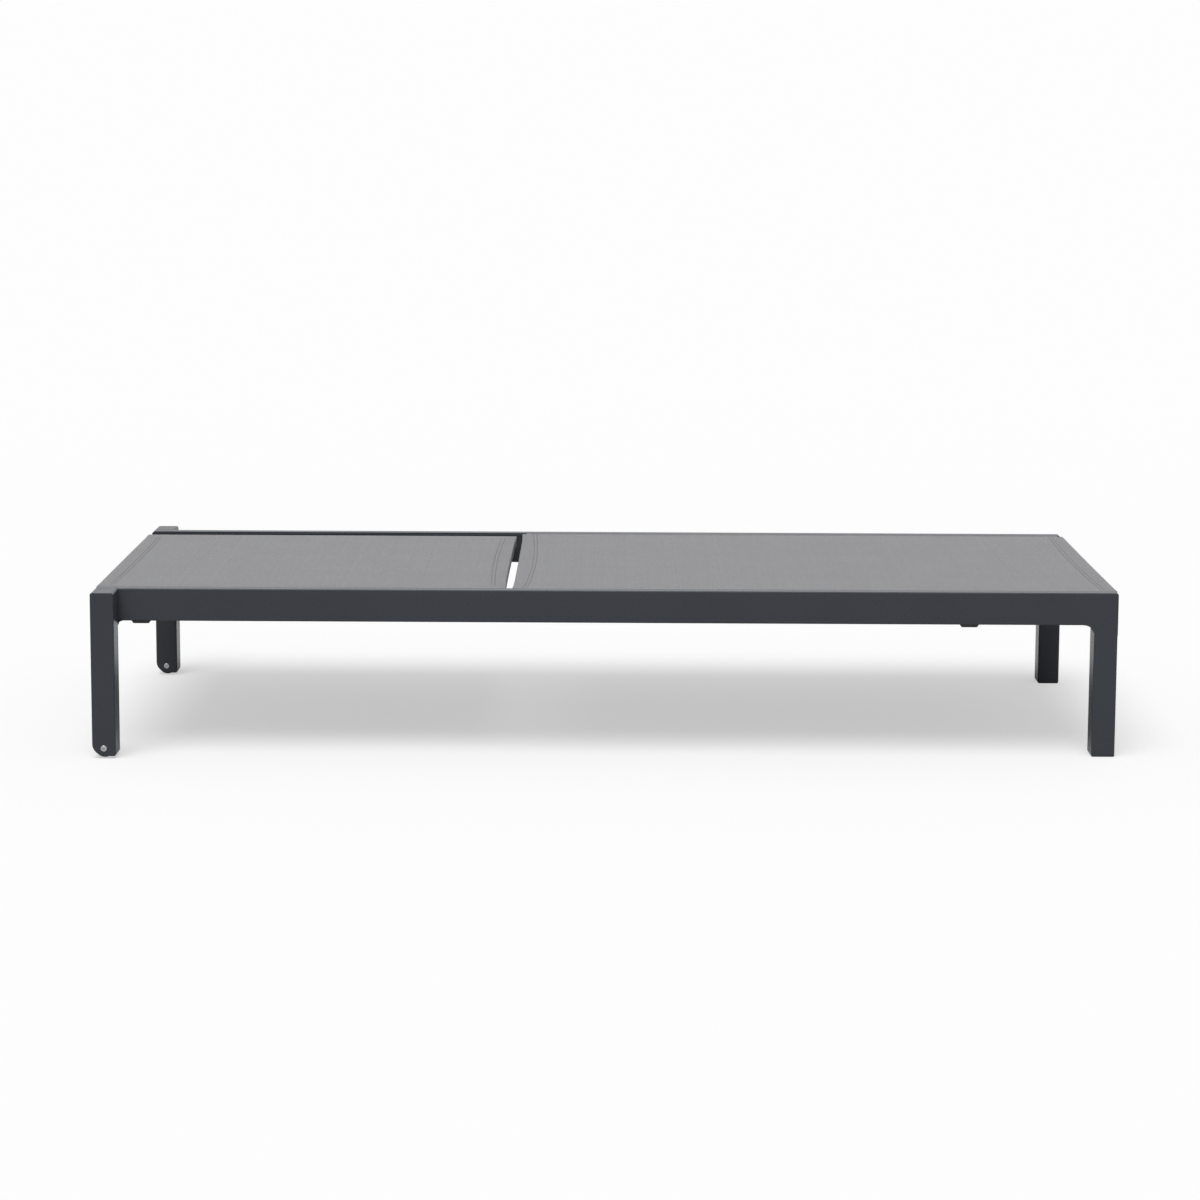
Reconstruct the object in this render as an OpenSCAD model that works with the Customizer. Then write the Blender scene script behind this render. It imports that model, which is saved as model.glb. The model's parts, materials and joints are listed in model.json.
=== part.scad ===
// Reclining sun lounger with an adjustable sling backrest.
// Frame: +X points to the foot end, +Y to the left of a person lying on it, +Z up.
// The origin is the middle of the footprint, on the ground.

/* [Overall] */
// Length from the head end to the foot end
overall_l = 2000; // [1900:10:2100]
// Width over the outer faces of the two side rails
frame_w = 700; // [620:10:760]
// Height of the rails' top above the ground
top_z = 327; // [310:1:400]

/* [Side rails] */
// Height of the rail profile
rail_h = 64; // [62:1:76]
// Width of the rail profile
rail_t = 30; // [28:1:36]
// Wall of the rail profile
rail_wall = 2.2; // [1.8:0.1:3]
// Radius of the rail profile's long edges
rail_edge_r = 2.5; // [1:0.5:4]
// Radius of the frame's upper corners, seen from the side
end_r = 5; // [2:1:10]
// Thickness of the rails' end caps
cap_t = 3; // [2:0.5:6]
// Diameter of the keder channel in the rails
keder_bore_d = 7.2; // [6.6:0.2:8]
// Width of the keder channel's mouth
keder_slot_w = 2.6; // [2.2:0.1:3.2]
// How far the channel's inner lip lies below the rail's top
lip_drop = 2.5; // [1.5:0.5:4]

/* [Foot legs] */
// Side of the square foot legs
foot_leg_w = 46; // [38:1:52]
// Radius of the inner corner between a rail and a foot leg
corner_r = 20; // [10:1:30]
// Wall of the leg tubes
leg_wall = 2.5; // [2:0.1:3.5]
// Radius of the legs' upright edges
leg_edge_r = 3; // [1:0.5:5]
// Height of the foot glides' visible rim
glide_h = 5; // [4:0.5:8]
// Radius of the foot glides' lower edges
glide_edge_r = 4; // [2:0.5:4]

/* [Head legs] */
// Size of the head legs along the lounger
head_leg_x = 46; // [44:1:52]
// Size of the head legs across the lounger
head_leg_y = 50; // [44:1:60]
// Radius of the head legs' lower head corners, which clear the ground when the lounger is rolled
fork_r = 26; // [18:1:28]
// Radius of the head legs' other lower corners
heel_r = 3; // [1:0.5:6]
// Height of the head legs' lower end above the ground
fork_gap = 5; // [3:1:9]
// Diameter of the bolts that hold the head legs
leg_bolt_d = 8; // [6:1:10]

/* [Wheels] */
// Diameter of the wheels
wheel_d = 40; // [36:1:40]
// Width of the wheels
wheel_w = 26; // [18:1:30]
// Thickness of the tyres
tyre_t = 5; // [3:0.5:7]
// Diameter of the wheel axles
axle_d = 8; // [6:0.5:10]
// Diameter of the axle heads
axle_head_d = 12; // [11:0.5:16]
// Radial clearance of the wheels and the hinge pins
run_gap = 0.05; // [0.02:0.01:0.1]

/* [Backrest] */
// Length of the backrest panel
back_l = 800; // [790:1:810]
// Gap between the backrest panel and the seat sling
hip_gap = 17; // [15:1:30]
// Gap between the backrest panel and each rail
side_gap = 10; // [6:1:16]
// How far the backrest panel lies below the rails' top
panel_drop = 3.5; // [2:0.5:6]
// Width of the tubes of the backrest frame
tube_w = 26; // [25:1:32]
// Height of the tubes of the backrest frame
tube_h = 22; // [20:1:24]
// Wall of the tubes of the backrest frame
tube_wall = 2; // [1.5:0.1:2.5]
// Radius of the tubes' long edges
tube_edge_r = 3; // [1:0.5:5]
// Diameter of the keder cords of the backrest
back_keder_d = 5; // [4:0.2:5.4]

/* [Slings] */
// Thickness of the sling fabric
fabric_t = 1.2; // [0.8:0.1:1.6]
// Clearance between the fabric and what it wraps
fabric_gap = 0.3; // [0.3:0.05:0.5]
// Diameter of the keder cords of the seat
seat_keder_d = 6; // [5:0.2:6.4]
// Width and height of the square tubes in the slings' end sleeves
sleeve_bar_s = 16; // [12:1:18]
// Wall of those tubes
sleeve_bar_wall = 2; // [1.5:0.1:2.5]
// Radius of those tubes' outer edges
sleeve_bar_r = 3; // [2.5:0.5:5]
// Width of the slit left open beside the sling's foot sleeve
slit_l = 75; // [50:5:100]

/* [Prop stay] */
// Distance of the hinge from the backrest panel's hip edge
hinge_inset = 50; // [48:1:60]
// Height of the hinge axis under the tubes of the backrest
hinge_drop = 16; // [15:0.5:18]
// Diameter of the hinge bolts
hinge_d = 10; // [8:0.5:12]
// Clear distance of the folded stay's rod from the head crossbar
fold_gap = 43; // [36:1:50]
// Height of the stay's flat arms
arm_h = 24; // [20:1:24]
// Thickness of the stay's flat arms
arm_t = 5; // [4:0.5:6]
// Diameter of the stay's pivot pins
stay_pin_d = 8; // [6:0.5:10]
// Diameter of the stay's cross rod
rod_d = 10; // [8:0.5:12]
// Diameter of the sleeves that slide on the racks
slider_d = 14; // [13:0.5:16]
// Number of raised positions
notches = 5; // [3:1:5]
// Backrest angle in the lowest raised position
low_angle = 18; // [14:1:24]
// Backrest angle in the highest raised position
high_angle = 60; // [56:1:64]
// Depth of the rack's notches
notch_depth = 7; // [5:0.5:7]
// Thickness of the racks
rack_t = 12; // [9:0.5:14]
// Slope of the ramp out of each notch
ramp_angle = 30; // [25:1:45]

/* [Underframe] */
// Height of the crossbars
brace_h = 20; // [16:1:22]
// Width of the crossbars
brace_w = 30; // [24:1:36]
// Height of the crossbars above the rails' underside
brace_lift = 3; // [2:1:6]
// Distance of the first seat brace from the seat sling's hip edge
seat_brace_1 = 380; // [340:10:440]
// Distance of the second seat brace from the seat sling's hip edge
seat_brace_2 = 800; // [740:10:900]
// Distance of the hinge brace from the hinge axis
hinge_brace = 60; // [40:5:90]
// Distance of the end crossbars' middle from the head and foot ends
end_bar_inset = 25; // [22:1:28]
// Diameter of the backrest's bowed spreader
spreader_d = 16; // [12:1:18]
// How far the spreader bows down in the middle
spreader_sag = 30; // [20:1:40]
// Distance of the spreader from the hinge axis
spreader_place = 190; // [150:5:230]

/* [Stacking pads] */
// Length of the pads under the rails
pad_l = 38; // [30:1:50]
// Height of the pads
pad_h = 5.5; // [4:0.5:9]
// Width of the pads
pad_w = 22; // [16:1:24]
// Distance of the head pads from the head end
pad_head = 90; // [80:5:160]
// Distance of the foot pads from the foot end
pad_foot = 290; // [200:5:400]

/* [Hidden] */
$fn = 48;

right = -1;
left = 1;
// Small distance by which a cutting solid passes the face that it cuts
cut = 1;
// Clearance between solids of one body that touch lightly
seat_fit = 0.1;
// Radial clearance of the screws and bolts in their holes
bolt_fit = 0.2;
// Clearance between solids of different bodies
body_gap = 0.3;
// Least radius of a tube's inner corners
least_r = 0.5;

head_x = -overall_l / 2;
foot_x = overall_l / 2;
rail_out = frame_w / 2;
rail_in = rail_out - rail_t;
rail_bottom = top_z - rail_h;
lip_z = top_z - lip_drop;

// Keder channel of the rails
keder_y = rail_in + rail_wall + keder_bore_d / 2;
keder_neck = 3;
keder_z = lip_z - keder_neck - keder_bore_d / 2;
channel_y = keder_y + keder_bore_d / 2 + rail_wall;
channel_z = keder_z - keder_bore_d / 2 - rail_wall;

// Corner castings
cast_x = foot_x - foot_leg_w - corner_r;
cast_wall = 5;
cast_end_wall = 10;
cap_plug = 5;
foot_leg_in = rail_out - foot_leg_w;
leg_cap_t = 4;
glide_inset = 0.5;
glide_plug = 18;
glide_plug_r = 1;

// Crossbars
brace_z = rail_bottom + brace_lift;
brace_top = brace_z + brace_h;
head_bar_x = head_x + end_bar_inset;
brace_wall = 2;
brace_edge_r = 2;

// Head legs and wheels
head_leg_end = head_x + head_leg_x;
head_leg_out = rail_out + head_leg_y;
axle_x = head_x + head_leg_x / 2;
axle_z = wheel_d / 2;
wheel_y = rail_out + head_leg_y / 2;
axle_head_t = 1.6;
socket_d = 5.8;
socket_depth = 2.6;
cap_socket_depth = 1.2;
shelf_t = 8;
shelf_h = 17;
shelf_r = 8;
leg_bolt_edge = 9;
leg_bolt_pitch = 20;
leg_bolt_xs = [head_leg_end - leg_bolt_edge - leg_bolt_pitch, head_leg_end - leg_bolt_edge];
leg_bolt_z = brace_top + leg_bolt_d * 1.6;
bolt_head_t = 4;
bolt_head_d = leg_bolt_d * 1.7;
nut_t = 6;
nut_d = leg_bolt_d * 1.5;
bolt_tail = 9;
dish_r = 3;
dish_offset = 1;
tyre_edge_r = min(3, tyre_t / 2);

// Seat sling
hip_x = head_x + back_l;
seat_x = hip_x + hip_gap;
sling_z = lip_z + fabric_gap + fabric_t;
wrap = fabric_t + fabric_gap;
sleeve_y = rail_in - fabric_gap;
sleeve_bar_bore_r = max(sleeve_bar_r - sleeve_bar_wall, least_r);
sleeve_s = sleeve_bar_s + 2 * wrap;
keder_start = 10;
seat_keder_x0 = seat_x + sleeve_s + keder_start;
seat_keder_x1 = foot_x - slit_l;

// Backrest panel, on its left side
back_out = rail_in - side_gap;
back_top = top_z - panel_drop;
tube_out = back_out - wrap;
tube_in = tube_out - tube_w;
tube_top = back_top - wrap;
tube_z = tube_top - tube_h;
plug_t = 2;
plug_l = 10;
tube_x0 = head_x + wrap + plug_t;
tube_x1 = hip_x - wrap - plug_t;
back_keder_x0 = tube_x0 + fabric_gap;
back_keder_x1 = tube_x1 - fabric_gap;
back_bore_play = 1.4;
back_bore_d = back_keder_d + back_bore_play;
back_slot_w = 2.4;
back_slot_depth = 2.5;
back_bore_inset = 4;
back_keder_y = tube_out - tube_wall - back_bore_inset - back_bore_d / 2;
back_keder_z = tube_z + back_slot_depth + back_bore_d / 2;

// Hinge and stay
hinge_x = hip_x - hinge_inset;
spreader_x = hinge_x - spreader_place;
hinge_z = tube_z - hinge_drop;
rod_x = head_bar_x + brace_w / 2 + fold_gap + slider_d / 2;
// Length of the stay, which is also the hinge's distance from the stay's pivot
stay_l = (hinge_x - rod_x) / 2;
pivot_x = hinge_x - stay_l;
hinge_bracket_t = 5;
stay_bracket_t = 4;
bracket_w = 52;
hinge_eye_r = 13;
stay_eye_r = 12;
bush_wall = 2;
bush_flange_t = 1.6;
bush_flange_d = 22;
hinge_bracket_inset = 6.5;
hinge_bracket_in = tube_in + hinge_bracket_inset;
hinge_bracket_out = hinge_bracket_in + hinge_bracket_t;
boss_in = hinge_bracket_out + bush_flange_t + body_gap;
boss_d = 24;
boss_plate_t = 4;
boss_plate_l = 64;
boss_plate_h = 38;
boss_plate_lift = 3;
boss_plate_z = hinge_z - boss_plate_h / 2 + boss_plate_lift;
boss_plate_r = 6;
boss_screw_d = 5;
boss_screw_edge = 9;
boss_screw_x = boss_plate_l / 2 - boss_screw_edge;
hinge_head_d = 18;
hinge_head_t = 4;
stay_bracket_inset = 1.5;
stay_bracket_in = tube_in + stay_bracket_inset;
stay_bracket_out = stay_bracket_in + stay_bracket_t;
washer_t = 0.8;
arm_out = stay_bracket_in - washer_t - 2 * seat_fit;
arm_in = arm_out - arm_t;
pin_head_d = 14;
pin_head_t = 3;
pin_nut_t = 4;
pin_tail = 1;

// Racks
rack_out = rail_in;
rack_in = rail_in - rack_t;
slider_inset = 0.5;
slider_in = rack_in + slider_inset;
slider_out = rail_in - 2 * body_gap;
tooth_z = hinge_z - slider_d / 2 - body_gap;
rack_lift = 1.5;
rack_z = rail_bottom + rack_lift;
notch_r = slider_d / 2 + body_gap;
angle_step = (high_angle - low_angle) / (notches - 1);
notch_xs = [for (i = [0:notches - 1]) hinge_x - 2 * stay_l * cos(low_angle + i * angle_step)];
rack_head_l = 18;
rack_hip_l = 30;
rack_x0 = rod_x - rack_head_l;
rack_x1 = notch_xs[notches - 1] + rack_hip_l;
rack_screw_d = 4;
rack_screw_head_d = 7.5;
rack_screw_lead = 8;
buffer_d = 12;
buffer_inset = 1;

// Stacking pads
pad_y = rail_out - rail_t / 2;
pad_slope = 4;
pad_screw_d = 4.5;
pad_screw_head_d = 9;
pad_screw_head_t = 1.5;

frame_colour = [0.22, 0.235, 0.255];
sling_colour = [0.55, 0.55, 0.56];
black_colour = [0.06, 0.06, 0.065];
steel_colour = [0.75, 0.76, 0.77];
nylon_colour = [0.16, 0.165, 0.17];

// ---- Helpers ----

// Draws a piece that is modelled on the left side of the lounger, on the side asked for
module on_side(side) {
    if (side < 0) mirror([0, 1, 0]) children();
    else children();
}

// Draws a piece on both sides
module both_sides() {
    children();
    mirror([0, 1, 0]) children();
}

// A rectangle from corner to corner with round corners
module rounded_rect(x0, y0, x1, y1, r) {
    translate([x0 + r, y0]) square([x1 - x0 - 2 * r, y1 - y0]);
    translate([x0, y0 + r]) square([x1 - x0, y1 - y0 - 2 * r]);
    for (x = [x0 + r, x1 - r], y = [y0 + r, y1 - r]) translate([x, y]) circle(r);
}

// A plain rectangle from corner to corner
module rect(x0, y0, x1, y1) {
    translate([x0, y0]) square([x1 - x0, y1 - y0]);
}

// A box from corner to corner
module box(x0, y0, z0, x1, y1, z1) {
    translate([x0, y0, z0]) cube([x1 - x0, y1 - y0, z1 - z0]);
}

// Extrudes a profile drawn in Y and Z along X
module along_x(x0, x1) {
    translate([x0, 0, 0]) rotate([90, 0, 90]) linear_extrude(x1 - x0) children();
}

// Extrudes an outline drawn in X and Z along Y
module along_y(y0, y1) {
    translate([0, y1, 0]) rotate([90, 0, 0]) linear_extrude(y1 - y0) children();
}

// A round bar along Y
module rod_y(x, z, d, y0, y1) {
    translate([x, y0, z]) rotate([-90, 0, 0]) cylinder(d = d, h = y1 - y0);
}

// A round bar along Y whose last stretch towards y0 is a cone, such as a countersunk head
module countersunk_y(x, z, d, head_d, y0, y1) {
    rod_y(x, z, d, y0, y1);
    translate([x, y0, z]) rotate([-90, 0, 0]) cylinder(d1 = head_d, d2 = d, h = (head_d - d) / 2);
}

// ---- Side rails ----

module rail_outline() {
    rounded_rect(rail_in, rail_bottom, rail_out, top_z, rail_edge_r);
}

// Mouth and bore of the keder channel, open at the top
module keder_channel() {
    translate([keder_y, keder_z]) circle(d = keder_bore_d);
    rect(keder_y - keder_slot_w / 2, keder_z, keder_y + keder_slot_w / 2, top_z + cut);
}

module rail_profile() {
    difference() {
        rail_outline();
        rect(rail_in + rail_wall, rail_bottom + rail_wall, rail_out - rail_wall, channel_z);
        rect(channel_y, channel_z - cut, rail_out - rail_wall, top_z - rail_wall);
        keder_channel();
        rect(rail_in - cut, lip_z, keder_y, top_z + cut);
    }
}

// Side view of the frame's upper corners
module frame_side_view() {
    rect(head_x, 0, foot_x, top_z - end_r);
    rect(head_x + end_r, top_z - 2 * end_r, foot_x - end_r, top_z);
    for (x = [head_x + end_r, foot_x - end_r]) translate([x, top_z - end_r]) circle(end_r);
}

module rail(side) {
    color(frame_colour) on_side(side) difference() {
        along_x(head_x + cap_t, cast_x) rail_profile();
        for (x = leg_bolt_xs)
            rod_y(x, leg_bolt_z, leg_bolt_d + 2 * bolt_fit, rail_in - cut, rail_out + cut);
    }
}

module rail_caps_head() {
    color(frame_colour) both_sides() {
        intersection() {
            along_x(head_x, head_x + cap_t) rail_outline();
            along_y(rail_in, rail_out) frame_side_view();
        }
        along_x(head_x + cap_t - cut, head_x + cap_t + cap_plug)
            rect(rail_in + rail_wall + seat_fit, rail_bottom + rail_wall + seat_fit,
                rail_out - rail_wall - seat_fit, channel_z - seat_fit);
    }
}

// ---- Foot legs ----

module foot_leg_side_view() {
    rect(foot_x - foot_leg_w, glide_h, foot_x, top_z - end_r);
    rect(cast_x, rail_bottom, foot_x - end_r, top_z);
    translate([foot_x - end_r, top_z - end_r]) circle(end_r);
    difference() {
        rect(cast_x, rail_bottom - corner_r, foot_x - foot_leg_w + cut, rail_bottom + cut);
        translate([cast_x, rail_bottom - corner_r]) circle(corner_r);
    }
}

module foot_leg(side) {
    color(frame_colour) on_side(side) difference() {
        union() {
            // Corner casting, flush with the rail
            intersection() {
                along_y(rail_in, rail_out) foot_leg_side_view();
                along_x(cast_x, foot_x) union() {
                    rail_outline();
                    rect(rail_in, rail_bottom - corner_r, rail_out, rail_bottom + rail_h / 2);
                }
            }
            // Leg tube
            translate([0, 0, glide_h]) linear_extrude(rail_bottom - glide_h)
                rounded_rect(foot_x - foot_leg_w, foot_leg_in, foot_x, rail_out, leg_edge_r);
        }
        // Inside of the leg tube
        translate([0, 0, -cut]) linear_extrude(rail_bottom - leg_cap_t + cut)
            rect(foot_x - foot_leg_w + leg_wall, foot_leg_in + leg_wall,
                foot_x - leg_wall, rail_out - leg_wall);
        // Hollow of the casting, open towards the rail
        box(cast_x - cut, rail_in + cast_wall, rail_bottom + cast_wall,
            foot_x - cast_end_wall, rail_out - cast_wall, channel_z - cast_wall);
        // Keder channel and lip, as in the rail
        along_x(cast_x - cut, foot_x - cast_wall) keder_channel();
        along_x(cast_x - cut, foot_x + cut) rect(rail_in - cut, lip_z, keder_y, top_z + cut);
    }
}

// Side view of a glide's rim, w wide, with round lower corners
module glide_view(x0, w) {
    intersection() {
        rounded_rect(x0, 0, x0 + w, 3 * glide_edge_r, glide_edge_r);
        rect(x0, 0, x0 + w, glide_h);
    }
}

module foot_glides() {
    rim_w = foot_leg_w - 2 * glide_inset;
    color(black_colour) both_sides() {
        intersection() {
            along_y(foot_leg_in, rail_out) glide_view(foot_x - foot_leg_w + glide_inset, rim_w);
            along_x(foot_x - foot_leg_w, foot_x) glide_view(foot_leg_in + glide_inset, rim_w);
        }
        translate([0, 0, glide_h - cut]) linear_extrude(glide_plug + cut)
            rounded_rect(foot_x - foot_leg_w + leg_wall + seat_fit, foot_leg_in + leg_wall + seat_fit,
                foot_x - leg_wall - seat_fit, rail_out - leg_wall - seat_fit, glide_plug_r);
    }
}

// ---- Head legs and wheels ----

module head_leg_side_view() {
    rect(head_x, fork_gap + fork_r, head_leg_end, top_z - end_r);
    rect(head_x + end_r, top_z - 2 * end_r, head_leg_end - end_r, top_z);
    rect(head_x + fork_r, fork_gap + heel_r, head_leg_end, fork_gap + fork_r + cut);
    rect(head_x + fork_r, fork_gap, head_leg_end - heel_r, fork_gap + fork_r);
    for (x = [head_x + end_r, head_leg_end - end_r]) translate([x, top_z - end_r]) circle(end_r);
    translate([head_leg_end - heel_r, fork_gap + heel_r]) circle(heel_r);
    // Quarter of a circle, because the whole one would pass the other side
    intersection() {
        translate([head_x + fork_r, fork_gap + fork_r]) circle(fork_r);
        rect(head_x, fork_gap, head_x + fork_r + cut, fork_gap + fork_r + cut);
    }
}

// Plate under the rail, with a hollow fillet towards the foot end
module head_leg_shelf() {
    along_y(rail_out - shelf_t, rail_out + leg_wall) {
        rect(head_x + leg_edge_r, rail_bottom - shelf_h, head_leg_end - leg_edge_r, rail_bottom);
        difference() {
            rect(head_leg_end - leg_edge_r - cut, rail_bottom - shelf_r,
                head_leg_end + shelf_r, rail_bottom);
            translate([head_leg_end + shelf_r, rail_bottom - shelf_r]) circle(shelf_r);
        }
    }
}

module head_leg(side) {
    color(frame_colour) on_side(side) difference() {
        union() {
            intersection() {
                along_y(rail_out, head_leg_out) head_leg_side_view();
                linear_extrude(top_z)
                    rounded_rect(head_x, rail_out, head_leg_end, head_leg_out, leg_edge_r);
            }
            head_leg_shelf();
        }
        box(head_x + leg_wall, rail_out + leg_wall, -cut,
            head_leg_end - leg_wall, head_leg_out - leg_wall, top_z - leg_cap_t);
        rod_y(axle_x, axle_z, axle_d + 2 * seat_fit, rail_out - cut, head_leg_out + cut);
        for (x = leg_bolt_xs)
            rod_y(x, leg_bolt_z, leg_bolt_d + 2 * bolt_fit, rail_out - cut, rail_out + 2 * leg_wall);
    }
}

module head_leg_bolts() {
    color(steel_colour) both_sides() for (x = leg_bolt_xs) {
        rod_y(x, leg_bolt_z, bolt_head_d, rail_in - bolt_head_t, rail_in);
        rod_y(x, leg_bolt_z, leg_bolt_d, rail_in - cut, rail_out + leg_wall + bolt_tail);
        rod_y(x, leg_bolt_z, nut_d, rail_out + leg_wall, rail_out + leg_wall + nut_t);
    }
}

// Low button head on a bar along Y, that rises from y towards +Y
module button_y(x, z, d, y, rise) {
    rod_y(x, z, d, y, y + rise / 2);
    translate([x, y + rise / 2, z]) rotate([-90, 0, 0]) cylinder(d1 = d, d2 = d - rise, h = rise / 2);
}

// Hexagon socket in a head whose top is at y
module hex_socket_y(x, z, y, depth) {
    translate([x, y - depth, z]) rotate([-90, 0, 0])
        cylinder(d = socket_d, h = depth + cut, $fn = 6);
}

module wheel_axle(side) {
    color(steel_colour) on_side(side) difference() {
        union() {
            button_y(axle_x, axle_z, axle_head_d, head_leg_out, axle_head_t);
            rod_y(axle_x, axle_z, axle_d, rail_out - seat_fit, head_leg_out + axle_head_t / 2);
        }
        hex_socket_y(axle_x, axle_z, head_leg_out + axle_head_t, socket_depth);
    }
}

// Cap screws that close the axles on their inner side
module axle_caps() {
    cap_y = -rail_out + seat_fit;
    color(steel_colour) both_sides() mirror([0, 1, 0]) difference() {
        button_y(axle_x, axle_z, axle_head_d, cap_y, axle_head_t);
        hex_socket_y(axle_x, axle_z, cap_y + axle_head_t, cap_socket_depth);
    }
}

module wheel_spacers() {
    spacer_len = (head_leg_y - wheel_w) / 2 - leg_wall - body_gap;
    color(nylon_colour) both_sides() for (end = [-1, 1]) {
        y_mid = wheel_y + end * (wheel_w / 2 + body_gap + spacer_len / 2);
        difference() {
            rod_y(axle_x, axle_z, axle_d * 2, y_mid - spacer_len / 2, y_mid + spacer_len / 2);
            rod_y(axle_x, axle_z, axle_d + 2 * seat_fit, y_mid - spacer_len, y_mid + spacer_len);
        }
    }
}

module wheel_hub(side) {
    hub_r = wheel_d / 2 - tyre_t - seat_fit;
    color(nylon_colour) on_side(side) translate([axle_x, wheel_y, axle_z]) rotate([-90, 0, 0])
        rotate_extrude() difference() {
            rect(axle_d / 2 + run_gap, -wheel_w / 2, hub_r, wheel_w / 2);
            // Dished sides
            dish_x = (axle_d / 2 + hub_r) / 2 + dish_offset;
            for (end = [-1, 1]) translate([dish_x, end * wheel_w / 2]) circle(dish_r);
        }
}

module wheel_tyre(side) {
    color(black_colour) on_side(side) translate([axle_x, wheel_y, axle_z]) rotate([-90, 0, 0])
        rotate_extrude() intersection() {
            rounded_rect(wheel_d / 2 - 2 * tyre_t, -wheel_w / 2, wheel_d / 2, wheel_w / 2, tyre_edge_r);
            rect(wheel_d / 2 - tyre_t, -wheel_w / 2, wheel_d / 2, wheel_w / 2);
        }
}

// ---- Crossbars ----

module brace_at(x) {
    x0 = x - brace_w / 2;
    x1 = x + brace_w / 2;
    color(frame_colour) along_y(-rail_in, rail_in) difference() {
        rounded_rect(x0, brace_z, x1, brace_top, brace_edge_r);
        rect(x0 + brace_wall, brace_z + brace_wall, x1 - brace_wall, brace_top - brace_wall);
    }
}

// Square of side s centred on x, under the height z, with round corners
module square_under(x, z, s, r) {
    rounded_rect(x - s / 2, z - s, x + s / 2, z, r);
}

// Square tube in a sling's end sleeve, under the height z
module sleeve_bar_at(x, z, half) {
    bore_s = sleeve_bar_s - 2 * sleeve_bar_wall;
    color(frame_colour) along_y(-half, half) difference() {
        square_under(x, z, sleeve_bar_s, sleeve_bar_r);
        square_under(x, z - sleeve_bar_wall, bore_s, sleeve_bar_bore_r);
    }
}

module seat_hip_tube() {
    sleeve_bar_at(seat_x + sleeve_s / 2, lip_z, rail_in);
}

module seat_foot_tube() {
    sleeve_bar_at(foot_x - sleeve_s / 2, lip_z, rail_in);
}

// Buffers on the head crossbar, on which the backrest lies when it is flat
module rest_buffers() {
    buffer_y = tube_in + buffer_inset + buffer_d / 2;
    color(black_colour) both_sides() translate([head_bar_x, buffer_y, brace_top])
        cylinder(d = buffer_d, h = tube_z - brace_top - body_gap);
}

// ---- Slings ----

// Section in X and Z of the sleeve round a bar, under the sling's top
module sleeve_section(x, top) {
    difference() {
        square_under(x, top, sleeve_s, sleeve_bar_r + wrap);
        square_under(x, top - fabric_t, sleeve_s - 2 * fabric_t, sleeve_bar_r + fabric_gap);
    }
}

module seat_sling() {
    color(sling_colour) {
        along_y(-sleeve_y, sleeve_y) {
            rect(seat_x + sleeve_s / 2, sling_z - fabric_t, foot_x - sleeve_s / 2, sling_z);
            sleeve_section(seat_x + sleeve_s / 2, sling_z);
            sleeve_section(foot_x - sleeve_s / 2, sling_z);
        }
        // Edges that pass over the lips into the keder channels
        both_sides() along_x(seat_keder_x0, seat_keder_x1) {
            rect(sleeve_y - cut, sling_z - fabric_t, keder_y + fabric_t / 2, sling_z);
            rect(keder_y - fabric_t / 2, keder_z + seat_keder_d / 2 + fabric_gap,
                keder_y + fabric_t / 2, sling_z);
        }
    }
}

module seat_keder(side) {
    color(black_colour) on_side(side)
        along_x(seat_keder_x0, seat_keder_x1) translate([keder_y, keder_z]) circle(d = seat_keder_d);
}

// Section in Y and Z of the sling where it wraps a side tube
module back_sling_side() {
    under_z = tube_z - wrap;
    inner_r = tube_edge_r - fabric_t / 2;
    difference() {
        union() {
            rounded_rect(back_keder_y - fabric_t / 2, under_z, back_out, back_top, tube_edge_r);
            rect(tube_in, back_top - fabric_t, back_out - tube_edge_r, back_top);
        }
        rounded_rect(tube_in, under_z + fabric_t, back_out - fabric_t, back_top - fabric_t, inner_r);
        rect(tube_in - cut, under_z - cut, back_keder_y - fabric_t / 2, back_top - fabric_t);
    }
}

// Edge of the sling that goes up into a side tube's keder channel
module back_sling_edge() {
    rect(back_keder_y - fabric_t / 2, tube_z - wrap, back_keder_y + fabric_t / 2,
        back_keder_z - back_keder_d / 2 - fabric_gap);
}

module back_sling() {
    color(sling_colour) {
        along_y(-tube_in + fabric_gap, tube_in - fabric_gap) {
            sleeve_section(head_x + sleeve_s / 2, back_top);
            sleeve_section(hip_x - sleeve_s / 2, back_top);
        }
        along_x(head_x + sleeve_s / 2, hip_x - sleeve_s / 2)
            rect(-tube_in - cut, back_top - fabric_t, tube_in + cut, back_top);
        both_sides() {
            along_x(head_x, hip_x) back_sling_side();
            along_x(back_keder_x0, back_keder_x1) back_sling_edge();
        }
    }
}

module back_keder(side) {
    color(black_colour) on_side(side)
        along_x(back_keder_x0, back_keder_x1)
            translate([back_keder_y, back_keder_z]) circle(d = back_keder_d);
}

// ---- Backrest frame ----

module back_tube(side) {
    block_in = back_keder_y - back_bore_d / 2 - tube_wall;
    block_top = back_keder_z + back_bore_d / 2 + tube_wall;
    color(frame_colour) on_side(side) along_x(tube_x0, tube_x1) difference() {
        rounded_rect(tube_in, tube_z, tube_out, tube_top, tube_edge_r);
        rect(tube_in + tube_wall, tube_z + tube_wall, block_in, tube_top - tube_wall);
        rect(block_in - cut, block_top, tube_out - tube_wall, tube_top - tube_wall);
        translate([back_keder_y, back_keder_z]) circle(d = back_bore_d);
        rect(back_keder_y - back_slot_w / 2, tube_z - cut, back_keder_y + back_slot_w / 2, back_keder_z);
    }
}

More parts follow.
